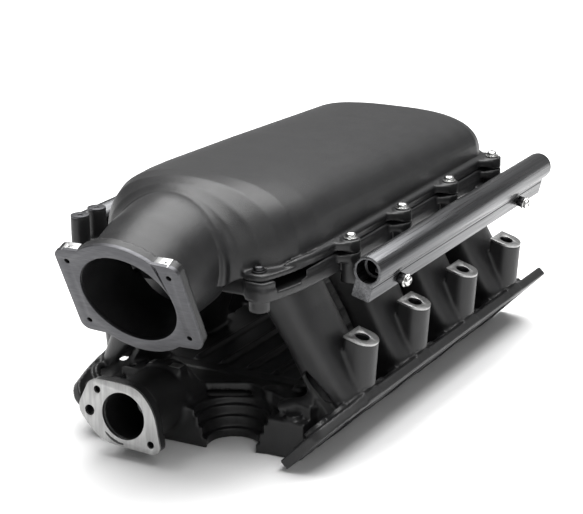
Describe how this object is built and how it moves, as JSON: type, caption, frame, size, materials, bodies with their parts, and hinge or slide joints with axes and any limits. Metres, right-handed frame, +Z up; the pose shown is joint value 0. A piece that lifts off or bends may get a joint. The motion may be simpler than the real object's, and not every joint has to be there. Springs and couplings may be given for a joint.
{
  "type": "intake manifold",
  "caption": "Front-entry intake manifold for a V engine: runner casting, domed plenum cover with a forward throttle neck, and a fuel rail along each bank.",
  "frame": {"origin": "middle of the length and width at the height of the lowest face, which is the front and rear end rails", "axes": "+X towards the left bank of the engine, +Y towards the rear of the engine, +Z up"},
  "size_m": [0.3418, 0.6268, 0.2704],
  "materials": {
    "black_casting": "cast aluminium under a satin black powder coat",
    "anodised_rail": "dark anodised extrusion with fine lengthwise lines",
    "bright_fastener": "bright zinc plated",
    "dark_steel": "black oxide",
    "seal_rubber": "matte"
  },
  "bodies": {
    "root": {"cover_screw_left_1": "bright_fastener", "cover_screw_left_2": "bright_fastener", "cover_screw_left_3": "bright_fastener", "cover_screw_left_4": "bright_fastener", "cover_screw_left_5": "bright_fastener", "cover_screw_left_6": "bright_fastener", "cover_screw_right_1": "bright_fastener", "cover_screw_right_2": "bright_fastener", "cover_screw_right_3": "bright_fastener", "cover_screw_right_4": "bright_fastener", "cover_screw_right_5": "bright_fastener", "cover_screw_right_6": "bright_fastener", "cover_washer_left_1": "bright_fastener", "cover_washer_left_2": "bright_fastener", "cover_washer_left_3": "bright_fastener", "cover_washer_left_4": "bright_fastener", "cover_washer_left_5": "bright_fastener", "cover_washer_left_6": "bright_fastener", "cover_washer_right_1": "bright_fastener", "cover_washer_right_2": "bright_fastener", "cover_washer_right_3": "bright_fastener", "cover_washer_right_4": "bright_fastener", "cover_washer_right_5": "bright_fastener", "cover_washer_right_6": "bright_fastener", "fuel_rail_left": "anodised_rail", "fuel_rail_right": "anodised_rail", "lower_manifold": "black_casting", "plenum_cover": "black_casting", "plenum_seal": "seal_rubber", "rail_bolt_left_1": "bright_fastener", "rail_bolt_left_2": "bright_fastener", "rail_bolt_right_1": "bright_fastener", "rail_bolt_right_2": "bright_fastener", "rail_collar_left_1": "dark_steel", "rail_collar_left_2": "dark_steel", "rail_collar_right_1": "dark_steel", "rail_collar_right_2": "dark_steel", "rail_plug_left": "dark_steel", "rail_plug_right": "dark_steel", "rail_washer_left_1": "bright_fastener", "rail_washer_left_2": "bright_fastener", "rail_washer_right_1": "bright_fastener", "rail_washer_right_2": "bright_fastener"}
  },
  "joints": []
}
